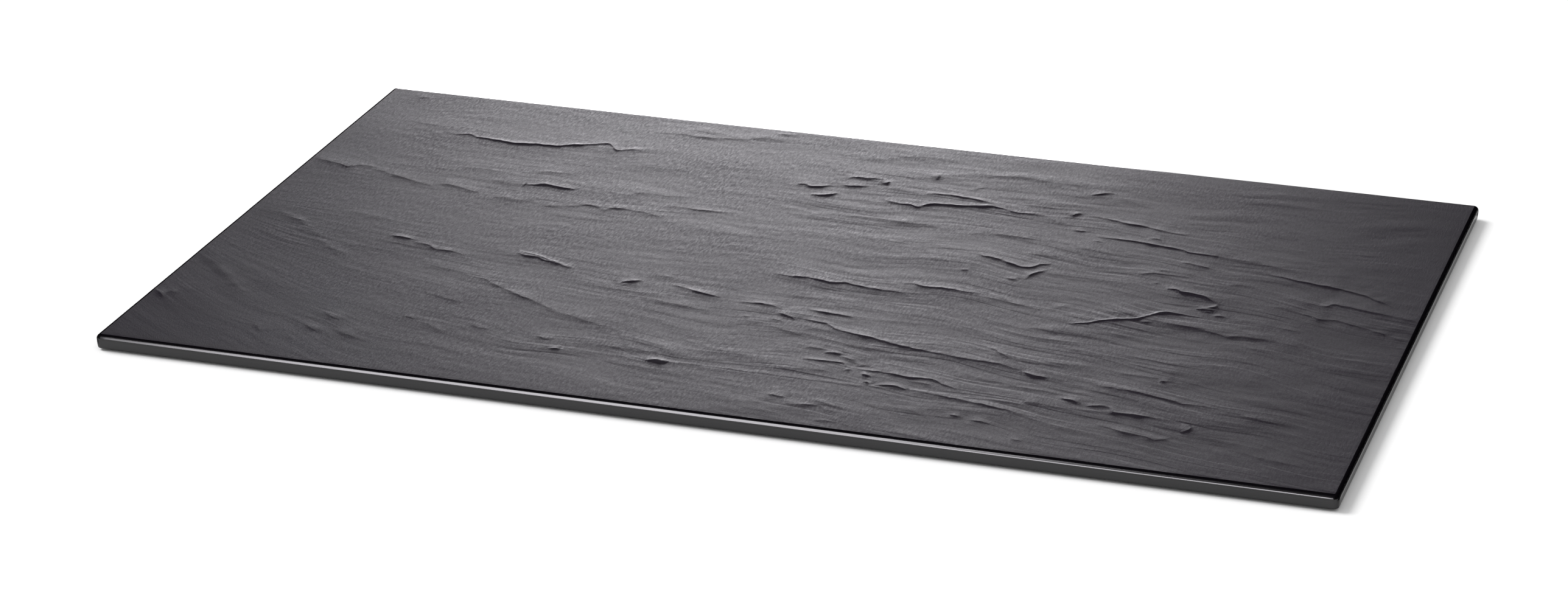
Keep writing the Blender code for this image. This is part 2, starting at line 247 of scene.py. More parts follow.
FRONT_RIGHT_CLEFTS = (
    cleft(0.2, (124, -27.5), (130, -25), (135, -20.5), (141, -17.5), (149, -14.5), (152.5, -9.5),
          (156.5, -5), (160, -3.5), (165, -4), (172.5, -4.5), (181, -5)),
    cleft(0.4, (151, -16.5), (153.5, -16.5), (156, -15.5)),
    cleft(0.45, (160, -14.5), (172.5, -15.5), (182.5, -19), (190, -21.5), (195, -19), (205, -20),
          (222.5, -23)),
    cleft(0.3, (132.5, -9.5), (140, -9), (147.5, -9)),
    cleft(0.5, (174.5, 1.5), (176, 2.5), (178, 2.5)),
    cleft(0.3, (185, -4), (203, -5), (222, -6), toe=4),
    cleft(0.3, (104, -37.5), (115, -37), (135, -37), (147.5, -40)),
    cleft(0.6, (97.5, -62), (102.5, -66), (109, -71)),
    cleft(0.6, (173, -76), (175, -75.5), (177, -75.5)),
    cleft(1.1, (117, -82.5), (122.5, -85.5), (129, -85.5)),
    cleft(0.55, (145, -85), (152.5, -87), (160, -88), (167.5, -89), (172.5, -90.5), (180, -92.5),
          (187.5, -95), (192.5, -94.5), (202.5, -95.5)),
    cleft(0.4, (196, -94.5), (210, -97.5), (217.5, -100.5), (232.5, -103)),
    cleft(0.3, (85, -92), (97.5, -94.5), (112.5, -96.5), (127.5, -99), (136, -100)),
    cleft(0.75, (138.5, -102.5), (141, -104.5), (144, -105), (147, -108)),
    cleft(0.7, (150.5, -109), (156, -106.5), (161, -107.5), (163, -111.5), (172.5, -111.5),
          (181, -111.5)),
    cleft(0.55, (158.5, -125), (165, -126.5), (171, -129), (180, -130.5), (185, -132.5), (191.5, -128)),
    cleft(0.8, (193.5, -123), (195.5, -119.5), (196.5, -115.5), toe=5),
    cleft(0.3, (192.5, -122.5), (202.5, -124), (212.5, -125.5), (230, -129)),
    cleft(0.4, (213.5, -132.5), (222.5, -135), (230, -137.5), (247, -140)),
    cleft(0.4, (100, -132.5), (102.5, -133.5), (105, -134.5)),
    cleft(0.4, (110, -135), (114, -136), (119, -136.5)),
    cleft(0.4, (125, -112), (128.5, -112), (132.5, -112.5)),
    cleft(0.3, (130, -148.5), (132.5, -149), (135, -148.5)),
    cleft(0.2, (195, -62.5), (205, -64), (230, -67)),
    cleft(0.25, (147.5, -52.5), (160, -54.5), (172.5, -55.5), (192.5, -60)),
)
CRESTS = (
    crest(0.18, (-89, -115.5), (-47, -116.5), (2, -116), (52, -116.5), (77, -114.5), (110, -114.5),
          (142, -113), (160, -112), (189, -112), (247, -112)),
    crest(0.2, (-221, 4), (-208, 0), (-195, -2.5), width=2.5),
    crest(0.2, (240, 39), (252, 36), (265, 34), width=2),
    crest(0.3, (132, 41), (146, 42.5), (161, 42), width=1.6),
    crest(0.4, (176, 15.5), (178, 12.5), (177.5, 9), (174.5, 6), (170, 4.5), width=0.9),
    crest(0.6, (122, -27.5), (130, -24.5), (135, -20), (141, -17), (149, -14), (152.5, -9), (156.5, -4.5),
          (160, -3), (165, -3.5), (174, -4), width=0.8),
    crest(0.35, (-130, -19.5), (-119, -23), (-110, -27), (-99, -31.5), width=0.8),
    crest(0.25, (-249, -7.5), (-240, -13), (-230, -19), width=2),
    crest(0.25, (-222, -32), (-211, -40), (-200, -47), width=2),
    crest(0.3, (-257, -67), (-240, -85), (-224, -101), width=3),
    crest(0.2, (107, -17), (113, -12), (119, -6), width=2),
    crest(0.2, (110, -70), (127, -70), (145, -69), width=1.6),
    crest(0.2, (150, -71), (161, -72), (172, -73), width=1.6),
    crest(0.2, (236, -30), (249, -31), (262, -32), width=1.6),
    crest(0.3, (40, -135), (49, -137), (57, -140), width=1.6),
    crest(0.3, (-102, -107.5), (-101, -108), (-100, -108.5), width=1.6),
    crest(0.35, (-256, -108), (-254.5, -109), (-253, -110), width=1.6),
    crest(0.3, (192.5, -120.5), (193.5, -117), (194, -113.5)),
)
CLEFTS = (
    *REAR_LEFT_CLEFTS,
    *REAR_MIDDLE_CLEFTS,
    *REAR_RIGHT_CLEFTS,
    *FRONT_LEFT_CLEFTS,
    *FRONT_MIDDLE_CLEFTS,
    *FRONT_RIGHT_CLEFTS,
)

# Section of a cleft: shoulder and lip behind its crest, then the broken face, its hollow toe and a trough
SHOULDER_LENGTH = 14 * MM
LIP_LENGTH = 2.4 * MM
FACE_LENGTH = 1.1 * MM
TROUGH_LENGTH = 14 * MM
CREST_SHARE = 0.95
LIP_SHARE = 0.65
FACE_SHARE = 0.65
ROUNDING_POWER = 1.6
REACH = 45 * MM
# A low cleft is worn: its lip and face are drawn out as its rise falls below the crisp one. A chip is too
# short to be worn so much. A break dies out at both ends.
CRISP_RISE = 0.55 * MM
WORN_POWER = 1.4
WORN_LIMITS = (0.7, 4)
CHIP_LENGTH = 9 * MM
TAPER_POWER = 0.6
# Lines of vertices along a break, as distances from a cleft and as shares of a crest's width
CLEFT_LINES = np.array((-2.4, -1.3, -0.7, -0.3, 0, 0.25, 0.6, 1.2, 2.4)) * MM
CREST_LINES = np.array((-1, -0.5, 0, 0.5, 1))

# Raggedness of a break: how far and how often it kinks, how its rise comes and goes, and how far from it
# the face is disturbed
KINK = 0.6 * MM
KINK_LENGTH = 3.5 * MM
RISE_CHANGE = 0.6
RISE_LENGTH = 6 * MM
DISTURBED_LENGTH = 10 * MM

# Grain: the cleavage lines fan out from the left edge and settle to run along the tray
FAN_LENGTH = 110 * MM
FAN_SLOPE_REAR = 0.1
FAN_SLOPE_FRONT = 0.9
FAN_FRONT = -160 * MM
DIP_SLOPE = 0.19
DIP_START = 60 * MM
DIP_BEND = 60 * MM
DIP_REAR = 130 * MM
DIP_FULL = 60 * MM
GRAIN_ROUNDS = 14
WANDER = 7 * MM
WANDER_LENGTH = 45 * MM

# Folds along the grain grow from the left of the tray to its middle, and come and go in patches
FOLDED_PLACES = np.array((-200, 20)) * MM
FOLDED_SHARES = (0.4, 1)
FOLDED_MEAN = 0.8
FOLDED_PATCH = 50 * MM
# Detail of the noise that makes them and the swells, and how much longer a swell is than it is wide
RIDGE_DETAIL = 3
SWELL_DETAIL = 1
SWELL_STRETCH = 2

# Noises of the finishes: lengths along X, Y and Z in millimetres, detail, roughness and height in the bump.
# Those of the face run straight down through it, and its layers, bands and streaks follow the grain.
Pattern = namedtuple("Pattern", "lengths detail roughness height", defaults=(0,))
DOWN = 1000
PATCHES = Pattern((50, 30, DOWN), 3, 0.5)
LAYERS = Pattern((160, 16, DOWN), 2, 0.5, 0.08 * MM)
BANDS = Pattern((30, 5, DOWN), 2, 0.5, 0.24 * MM)
STREAKS = Pattern((14, 2.2, DOWN), 2, 0.5, 0.03 * MM)
TOOTH = Pattern((0.9, 3.6, DOWN), 1, 0.5, 0.058 * MM)
GRIT = Pattern((1.6, 6, DOWN), 2, 0.6, 0.045 * MM)
SPECKS = Pattern((0.4, 1, DOWN), 1, 0.5, 0.055 * MM)
SCRATCHES = Pattern((80, 80, 0.3), 3, 0.6, 0.0015 * MM)
RIPPLE = Pattern((20, 20, 4), 3, 0.5, 0.02 * MM)
PEEL = Pattern((3, 3, 3), 2, 0.5, 0.012 * MM)
FLOW = Pattern((120, 50, 50), 3, 0.5)
PORES = Pattern((0.6, 0.6, 0.6), 2, 0.6, 0.02 * MM)
DUST = Pattern((4, 4, 4), 3, 0.6)
# Towards the right of the face the bands lose height and the streaks gain some
BAND_LOSS = 0.12 * MM
STREAK_GAIN = 0.05 * MM
LAYER_COUNT = 7

# Where the finishes change: over these places, shares of a noise, distances and heights
FRONT_RANGE = (140 * MM, 60 * MM)
RIGHT_RANGE = (-120 * MM, 160 * MM)
PATCHY_RANGE = (0.35, 0.65)
BROKEN_RANGE = (0.6, 1)
WORN_CORNER = (BOARD_LOW.x, BOARD_LOW.y, BOARD_HIGH.z)
SMOOTH_RANGE = (110 * MM, 15 * MM)
GLOSS_RANGE = (4.4 * MM, 5.4 * MM)

# Roughness that the noises then vary, and index of refraction
FACE_ROUGHNESS = 0.63
EDGE_ROUGHNESS = 0.30
UNDERSIDE_ROUGHNESS = 0.34
SILICONE_ROUGHNESS = 0.55
MELAMINE_IOR = 1.5
SILICONE_IOR = 1.41

# Numbers of the sockets that share their names with others: a Mix node's for colours, a Compare node's for
# whole numbers
MIX_FACTOR, MIX_FIRST, MIX_SECOND, MIX_RESULT = 0, 6, 7, 2
COMPARE_FIRST, COMPARE_SECOND = 2, 3


def length_property(name, description, default):
    return bpy.props.FloatProperty(
        name=name, description=description, default=default, unit="LENGTH", precision=5
    )


def share_property(name, description, default):
    return bpy.props.FloatProperty(
        name=name, description=description, default=default, min=0, max=1, subtype="FACTOR"
    )


def colour_property(name, description, default):
    return bpy.props.FloatVectorProperty(
        name=name, description=description, default=default, subtype="COLOR", size=3
    )


class TraySizes(bpy.types.PropertyGroup):
    """Sizes of the board and its feet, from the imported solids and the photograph"""

    length: length_property("Length", "Board's length along X", BOARD_HIGH.x - BOARD_LOW.x)
    width: length_property("Width", "Board's width along Y", BOARD_HIGH.y - BOARD_LOW.y)
    underside: length_property("Underside", "Height of the underside over the table", BOARD_LOW.z)
    face_height: length_property("Face height", "Height of the face's rim over the table", 7 * MM)
    corner_radius: length_property("Corner radius", "Radius of the corners in plan", 2.5 * MM)
    edge_round: length_property("Edge rounding", "Radius between the face and the side", 2 * MM)
    heel_round: length_property("Heel rounding", "Radius between the side and the underside", 1 * MM)
    side_draft: bpy.props.FloatProperty(
        name="Side draft", description="Lean of the side, which is drawn in towards the underside",
        default=math.radians(4), subtype="ANGLE",
    )
    rim_fade: length_property("Rim fade", "Width of the border over which the relief dies out", 6 * MM)
    rim_share: share_property("Rim share", "Share of the relief that is left at the face's rim", 0.4)
    pocket_clearance: length_property("Pocket clearance", "Gap round a foot, filled by adhesive", 0.3 * MM)
    foot_edge: length_property("Foot edge", "Rounding of a foot where it meets the table", 0.6 * MM)


class RivenRelief(bpy.types.PropertyGroup):
    """How deep the riven face is cut"""

    cleft_depth: share_property("Cleft depth", "Depth of clefts and crests as a share of their rise", 0.53)
    ridge_height: length_property("Ridge height", "Height of the low ridges along the grain", 0.8 * MM)
    ridge_length: length_property("Ridge length", "Length of the low ridges along the grain", 60 * MM)
    ridge_spacing: length_property("Ridge spacing", "Distance between ridges across the grain", 12 * MM)
    swell_height: length_property("Swell height", "Height of the broad swells of the face", 0.7 * MM)
    swell_size: length_property("Swell size", "Distance across a broad swell", 60 * MM)
    seed: bpy.props.FloatProperty(
        name="Seed", description="Picks one pattern of ridges and swells", default=3.7
    )


class TrayColours(bpy.types.PropertyGroup):
    """Colours of the finishes"""

    slate: colour_property("Slate", "Matt melamine of the riven face", (0.0068, 0.0036, 0.0102))
    edge: colour_property("Edge", "Polished melamine of the edge", (0.0024, 0.0019, 0.0029))
    underside: colour_property("Underside", "Moulded melamine of the underside", (0.013, 0.013, 0.0135))
    silicone: colour_property("Silicone", "Anti-slip feet", (0.022, 0.022, 0.022))
    floor: colour_property("Floor", "Studio floor", (0.9, 0.9, 0.9))


class Socket:
    """An output socket, whose arithmetic adds Math nodes to its tree."""

    def __init__(self, nodes, socket):
        self.nodes = nodes
        self.socket = socket

    def math(self, operation, first, second):
        return self.nodes.add("ShaderNodeMath", {"operation": operation}, {0: first, 1: second})

    def __add__(self, other):
        return self.math("ADD", self, other)

    def __sub__(self, other):
        return self.math("SUBTRACT", self, other)

    def __rsub__(self, other):
        return self.math("SUBTRACT", other, self)

    def __mul__(self, other):
        return self.math("MULTIPLY", self, other)

    def __truediv__(self, other):
        return self.math("DIVIDE", self, other)

    def __rtruediv__(self, other):
        return self.math("DIVIDE", other, self)

    def __pow__(self, other):
        return self.math("POWER", self, other)

    __radd__ = __add__
    __rmul__ = __mul__


class Nodes:
    """A node tree that is written down node by node."""

    def __init__(self, tree):
        self.tree = tree

    def add(self, kind, settings=None, sockets=None, output=0):
        """Adds a node, sets it up, links or fills its sockets, and returns one of its outputs."""
        node = self.tree.nodes.new(kind)
        for name, value in (settings or {}).items():
            setattr(node, name, value)
        for key, value in (sockets or {}).items():
            if isinstance(value, Socket):
                self.tree.links.new(value.socket, node.inputs[key])
            else:
                node.inputs[key].default_value = value
        return Socket(self, node.outputs[output]) if node.outputs else None

    def place(self):
        return self.add("ShaderNodeTexCoord", output="Object")

    def part(self, vector, axis):
        return self.add("ShaderNodeSeparateXYZ", {}, {"Vector": vector}, axis)

    def scaled(self, vector, scale):
        return self.add("ShaderNodeVectorMath", {"operation": "MULTIPLY"}, {0: vector, 1: scale})

    def noise(self, place, pattern):
        """Noise about 0.5."""
        stretched = self.scaled(place, [1 / (length * MM) for length in pattern.lengths])
        character = {"Detail": pattern.detail, "Roughness": pattern.roughness}
        return self.add("ShaderNodeTexNoise", {}, {"Vector": stretched, "Scale": 1, **character})

    def mask(self, value, start, end, **settings):
        """0 where a value is at the start or before it, and 1 where it is at the end or past it."""
        sockets = {"Value": value, "From Min": start, "From Max": end}
        return self.add("ShaderNodeMapRange", settings, sockets)

    def bump(self, height):
        """A normal that follows a height in metres."""
        return self.add("ShaderNodeBump", {}, {"Strength": 1, "Distance": 1, "Height": height})


def principled(name, sockets, write=None):
    """A material of one Principled shader. write adds its nodes and returns the sockets that they feed."""
    material = bpy.data.materials.new(name)
    material.use_nodes = True
    material.node_tree.nodes.clear()
    nodes = Nodes(material.node_tree)
    if write:
        sockets = {**sockets, **write(nodes)}
    shader = nodes.add("ShaderNodeBsdfPrincipled", {}, sockets, "BSDF")
    nodes.add("ShaderNodeOutputMaterial", {}, {"Surface": shader})
    return material


def tinted(nodes, colour, share, low, high):
    """A colour that goes from one share of its strength to another."""
    weak, strong = [tuple(strength * part for part in colour) + (1,) for strength in (low, high)]
    sockets = {MIX_FACTOR: share, MIX_FIRST: weak, MIX_SECOND: strong}
    return nodes.add("ShaderNodeMix", {"data_type": "RGBA"}, sockets, MIX_RESULT)


def riven_slate(colour):
    """Matt melamine: a fine tooth, boldest on the left, and cleavage lines, boldest on the right."""

    def write(nodes):
        grain = nodes.add("ShaderNodeAttribute", {"attribute_name": "grain"}, output="Vector")
        disturbed = nodes.add("ShaderNodeAttribute", {"attribute_name": "disturbed"}, output="Fac")
        place = nodes.place()
        front = nodes.mask(nodes.part(place, "Y"), *FRONT_RANGE)
        right = nodes.mask(nodes.part(place, "X"), *RIGHT_RANGE)
        patches = nodes.noise(place, PATCHES)
        patchy = nodes.mask(patches, *PATCHY_RANGE)
        layers = nodes.noise(grain, LAYERS) * LAYER_COUNT
        bared = nodes.add("ShaderNodeMath", {"operation": "FRACT"}, {0: layers})
        broken = nodes.mask(bared, *BROKEN_RANGE, interpolation_type="SMOOTHSTEP")
        stepped = layers - bared + broken
        bands = nodes.noise(grain, BANDS)
        streaks = nodes.noise(grain, STREAKS)
        tooth = nodes.noise(place, TOOTH)
        grit = nodes.noise(place, GRIT)
        specks = nodes.noise(place, SPECKS)
        from_corner = {0: place, 1: WORN_CORNER}
        corner = nodes.add("ShaderNodeVectorMath", {"operation": "DISTANCE"}, from_corner, "Value")
        smooth = nodes.mask(corner, *SMOOTH_RANGE)

        # How strongly the lines, the tooth and the layers show, and what they make of the surface
        lined = 0.15 + disturbed * 0.5 + right * 0.2 + patchy * 0.3
        toothed = (1 - right * 0.3) * (0.6 + patchy * 0.6) * (1 - smooth * 0.7)
        layered = disturbed * 0.4 + right * (0.35 + patchy * 0.5) * (0.3 + front * 0.7)
        lines = bands * (BANDS.height - right * BAND_LOSS)
        lines += streaks * (STREAKS.height + right * STREAK_GAIN)
        height = lined * lines + layered * stepped * LAYERS.height
        height += toothed * (tooth * TOOTH.height + grit * GRIT.height) + specks * SPECKS.height
        roughness = FACE_ROUGHNESS - smooth * 0.07 + (patches - 0.5) * 0.06
        roughness += toothed * (0.5 - tooth) * 0.34 + (specks - 0.5) * 0.16
        return {
            "Base Color": tinted(nodes, colour, patches, 0.7, 1.3),
            "Roughness": roughness,
            "Normal": nodes.bump(height),
        }

    return principled("riven_slate", {"IOR": MELAMINE_IOR}, write)


def polished_edge(colour):
    """Melamine that is glossy on the rounding and duller down the side, with hair scratches along it."""

    def write(nodes):
        place = nodes.place()
        gloss = nodes.mask(nodes.part(place, "Z"), *GLOSS_RANGE)
        scratches = nodes.noise(place, SCRATCHES)
        ripple = nodes.noise(place, RIPPLE)
        return {
            "Base Color": tinted(nodes, colour, scratches, 0.6, 1.4),
            "Roughness": EDGE_ROUGHNESS - gloss * 0.18 + scratches * 0.14,
            "Normal": nodes.bump(scratches * SCRATCHES.height + ripple * RIPPLE.height),
        }

    return principled("polished_edge", {"IOR": MELAMINE_IOR}, write)


def moulded_underside(colour):
    """Satin melamine with the faint orange peel of its mould."""

    def write(nodes):
        place = nodes.place()
        peel = nodes.noise(place, PEEL)
        flow = nodes.noise(place, FLOW)
        return {
            "Base Color": tinted(nodes, colour, flow, 0.8, 1.2),
            "Roughness": UNDERSIDE_ROUGHNESS + flow * 0.12,
            "Normal": nodes.bump(peel * PEEL.height),
        }

    return principled("moulded_underside", {"IOR": MELAMINE_IOR}, write)


def silicone(colour):
    """Dull rubber with a fine grip texture and a little dust."""

    def write(nodes):
        place = nodes.place()
        pores = nodes.noise(place, PORES)
        dust = nodes.noise(place, DUST)
        return {
            "Base Color": tinted(nodes, colour, dust, 0.7, 1.6),
            "Roughness": SILICONE_ROUGHNESS + dust * 0.2,
            "Normal": nodes.bump(pores * PORES.height),
        }

    return principled("silicone", {"IOR": SILICONE_IOR}, write)


def node_group(name, values):
    """A geometry tree with a named input for each of these values, and the sockets of its inputs."""
    tree = bpy.data.node_groups.new(name, "GeometryNodeTree")
    tree.is_modifier = True
    tree.interface.new_socket("Geometry", in_out="INPUT", socket_type="NodeSocketGeometry")
    for label, value in values.items():
        kind = "NodeSocketMaterial" if isinstance(value, bpy.types.Material) else "NodeSocketFloat"
        tree.interface.new_socket(label, in_out="INPUT", socket_type=kind)
    tree.interface.new_socket("Geometry", in_out="OUTPUT", socket_type="NodeSocketGeometry")
    nodes = Nodes(tree)
    group_input = tree.nodes.new("NodeGroupInput")
    sockets = {label: Socket(nodes, group_input.outputs[label]) for label in ("Geometry", *values)}
    return nodes, sockets


def shaped_by(obj, nodes, values):
    """Runs a geometry tree on an object with these input values, and leaves a plain mesh."""
    modifier = obj.modifiers.new(nodes.tree.name, "NODES")
    modifier.node_group = nodes.tree
    for item in nodes.tree.interface.items_tree:
        if item.in_out == "INPUT" and item.name in values:
            modifier[item.identifier] = values[item.name]
    graph = bpy.context.evaluated_depsgraph_get()
    evaluated = obj.evaluated_get(graph)
    mesh = bpy.data.meshes.new_from_object(evaluated, preserve_all_data_layers=True, depsgraph=graph)
    obj.modifiers.remove(modifier)
    obj.data = mesh
    return obj


def named_values(group):
    """The values of a property group under the names that its properties show."""
    shown = group.bl_rna.properties
    return {shown[name].name: getattr(group, name) for name in group.__annotations__}


def new_object(name, mesh):
    obj = bpy.data.objects.new(name, mesh)
    bpy.context.scene.collection.objects.link(obj)
    return obj


def smooth_run(run):
    """A gentle curve through a run's points, as points about RUN_PITCH apart."""
    ends = np.vstack((2 * run[0] - run[1], run, 2 * run[-1] - run[-2]))
    points = []
    for before, start, end, after in zip(ends, ends[1:], ends[2:], ends[3:]):
        spans = max(1, round(np.linalg.norm(end - start) / RUN_PITCH))
        share = np.arange(spans)[:, None] / spans
        bend = 2 * before - 5 * start + 4 * end - after
        twist = 3 * start - before - 3 * end + after
        swung = start + ((end - before) * share + bend * share**2 + twist * share**3) / 2
        straight = start + (end - start) * share
        points.append((swung + straight) / 2)
    return np.vstack((*points, run[-1:]))


def offset_run(run, distance):
    """A run moved sideways, to the left of its direction where the distance is positive."""
    along = np.gradient(run, axis=0)
    along /= np.linalg.norm(along, axis=1, keepdims=True)
    return run + distance * np.stack((-along[:, 1], along[:, 0]), axis=1)


def distance_to_run(points, run):
    """Each point's distance to a run, positive on its left, and its place along it from 0 to 1."""
    nearest = np.full(len(points), np.inf)
    signed = np.zeros(len(points))
    place = np.zeros(len(points))
    for span, (start, end) in enumerate(zip(run, run[1:])):
        along = end - start
        share = np.clip((points - start) @ along / (along @ along), 0, 1)
        away = points - start - share[:, None] * along
        distance = np.linalg.norm(away, axis=1)
        left = along[0] * away[:, 1] - along[1] * away[:, 0] >= 0
        closer = distance < nearest
        nearest[closer] = distance[closer]
        signed[closer] = np.where(left, distance, -distance)[closer]
        place[closer] = ((span + share) / (len(run) - 1))[closer]
    return signed, place


def cleft_section(distance, traced):
    """Height across a cleft for a rise of 1."""
    length = np.linalg.norm(traced.run[-1] - traced.run[0])
    worn = np.clip(min((CRISP_RISE / traced.rise) ** WORN_POWER, length / CHIP_LENGTH), *WORN_LIMITS)
    behind = np.maximum(distance, 0)
    before = np.maximum(-distance, 0)
    lip = LIP_SHARE * np.exp(-((behind / (worn * LIP_LENGTH)) ** ROUNDING_POWER))
    shoulder = (CREST_SHARE - LIP_SHARE) * np.exp(-behind / SHOULDER_LENGTH)
    face = FACE_SHARE * np.exp(-((before / (worn * FACE_LENGTH)) ** ROUNDING_POWER))
    fall = face + (1 - FACE_SHARE) * np.exp(-before / traced.toe)
    trough = (1 - CREST_SHARE) * (1 - fall) * np.exp(-before / TROUGH_LENGTH)
    return np.where(distance > 0, lip + shoulder, CREST_SHARE * fall - trough)


def noise_at(points, length):
    """Noise about 0 at each point, which changes over this length."""
    return np.array([noise.noise(Vector((*point, 0)) / length) for point in points])


def ragged_run(traced):
    """The smooth curve of a cleft or crest with the small kinks of a break."""
    run = smooth_run(traced.run)
    return offset_run(run, KINK * noise_at(run, KINK_LENGTH)[:, None])


def near_run(points, run, reach):
    """Which points lie in the box round a run."""
    return ((points > run.min(axis=0) - reach) & (points < run.max(axis=0) + reach)).all(axis=1)


def traced_relief(points):
    """Height that the clefts and crests give the face at each point, and how disturbed they leave it."""
    height = np.zeros(len(points))
    disturbed = np.zeros(len(points))
    for traced in CLEFTS + CRESTS:
        run = ragged_run(traced)
        near = near_run(points, run, REACH)
        distance, place = distance_to_run(points[near], run)
        changing = 1 + RISE_CHANGE * noise_at(run, RISE_LENGTH)
        rise = traced.rise * np.interp(place, np.linspace(0, 1, len(run)), changing)
        taper = rise * np.sin(math.pi * place) ** TAPER_POWER
        if isinstance(traced, Cleft):
            height[near] += taper * cleft_section(distance, traced)
        else:
            height[near] += taper * np.exp(-((distance / traced.width) ** 2))
        disturbed[near] += rise / MM * np.exp(-np.abs(distance) / DISTURBED_LENGTH)
    return height, np.minimum(disturbed, 1)


def grain_place(points):
    """Where each point lies in the grain: along it, and across it on the line that it runs out to."""
    x, y = points.T
    fanned = FAN_LENGTH * np.exp(-(x + BOARD_HIGH.x) / FAN_LENGTH)
    dipped = ((x - DIP_START) + np.hypot(x - DIP_START, DIP_BEND)) / 2
    line = y.copy()
    for _ in range(GRAIN_ROUNDS):
        front = np.clip(line / FAN_FRONT, 0, 1)
        slope = FAN_SLOPE_REAR + (FAN_SLOPE_FRONT - FAN_SLOPE_REAR) * front
        dip = DIP_SLOPE * np.clip((DIP_REAR - line) / (DIP_REAR - DIP_FULL), 0, 1)
        line = (line + y - slope * fanned + dip * dipped) / 2
    return np.stack((x, line + WANDER * noise_at(points, WANDER_LENGTH), np.zeros(len(x))), axis=1)


def outline(sizes):
    """Points along the board's outline: the centres that they turn about, and their outward directions."""
    reach = (sizes.length / 2 - sizes.corner_radius, sizes.width / 2 - sizes.corner_radius)
    centres, outward = [], []
    for corner, (side_x, side_y) in enumerate(((1, 1), (-1, 1), (-1, -1), (1, -1))):
        centre = np.array((side_x * reach[0], side_y * reach[1]))
        for step in range(CORNER_STEPS + 1):
            turn = math.radians(90) * (corner + step / CORNER_STEPS)
            centres.append(centre)
            outward.append((math.cos(turn), math.sin(turn)))
        straight = np.array((-2 * side_x * reach[0], 0) if corner % 2 == 0 else (0, -2 * side_y * reach[1]))
        spans = math.ceil(np.abs(straight).max() / RIM_PITCH)
        for span in range(1, spans):
            centres.append(centre + straight * span / spans)
            outward.append(outward[-1])
    return np.array(centres), np.array(outward)


def edge_profile(sizes):
    """(inset, height) of the edge, from the rim of the face round and down to the underside."""
    profile = []
    for step in range(EDGE_STEPS + 1):
        turn = math.radians(90) * step / EDGE_STEPS
        drop = sizes.edge_round * (1 - math.cos(turn))
        profile.append((sizes.edge_round * (1 - math.sin(turn)), sizes.face_height - drop))
    side = sizes.face_height - sizes.underside - sizes.edge_round - sizes.heel_round
    drawn_in = side * math.tan(sizes.side_draft)
    for step in range(HEEL_STEPS + 1):
        turn = math.radians(90) * step / HEEL_STEPS
        lift = sizes.heel_round * (1 - math.sin(turn))
        profile.append((drawn_in + sizes.heel_round * (1 - math.cos(turn)), sizes.underside + lift))
    return profile


def face_points(sizes):
    """Points of the face inside its rim, and the pairs of them that are edges along the clefts."""
    half = np.array((sizes.length, sizes.width)) / 2 - sizes.edge_round - FACE_PITCH_Y / 2
    points, edges, lines = [], [], []
    for traced in CLEFTS + CRESTS:
        run = ragged_run(traced)
        offsets = CLEFT_LINES if isinstance(traced, Cleft) else CREST_LINES * traced.width
        for offset in offsets:
            line = offset_run(run, offset)
            line = line[(np.abs(line) < half).all(axis=1)]
            edges += [(len(points) + place, len(points) + place + 1) for place in range(len(line) - 1)]
            points += list(line)
        lines.append((run, np.abs(offsets).max() + FACE_PITCH_Y / 2))
    columns = math.ceil(2 * half[0] / FACE_PITCH_X)
    rows = math.ceil(2 * half[1] / FACE_PITCH_Y)
    lattice_x = np.linspace(-half[0], half[0], columns + 1)
    lattice_y = np.linspace(-half[1], half[1], rows + 1)
    x, y = np.meshgrid(lattice_x, lattice_y)
    x += (np.arange(rows + 1)[:, None] % 2 - 0.5) * FACE_PITCH_X / 2
    lattice = np.stack((x, y), axis=-1).reshape(-1, 2)
    lattice = lattice[(np.abs(lattice) < half).all(axis=1)]
    for run, clear in lines:
        near = near_run(lattice, run, clear)
        distance, _ = distance_to_run(lattice[near], run)
        near[near] = np.abs(distance) < clear
        lattice = lattice[~near]
    return points + list(lattice), edges


def triangulated(points, edges):
    """Triangles over flat points that keep these edges, inside the outermost of them."""
    inside_constraints = 1
    flat = [Vector(point) for point in points]
    made = geometry.delaunay_2d_cdt(flat, edges, [], inside_constraints, MERGE_DISTANCE)
    found, _, triangles, origins, _, _ = made
    return np.array([tuple(point) for point in found]), triangles, origins


def loop_edges(first, count):
    return [(first + place, first + (place + 1) % count) for place in range(count)]


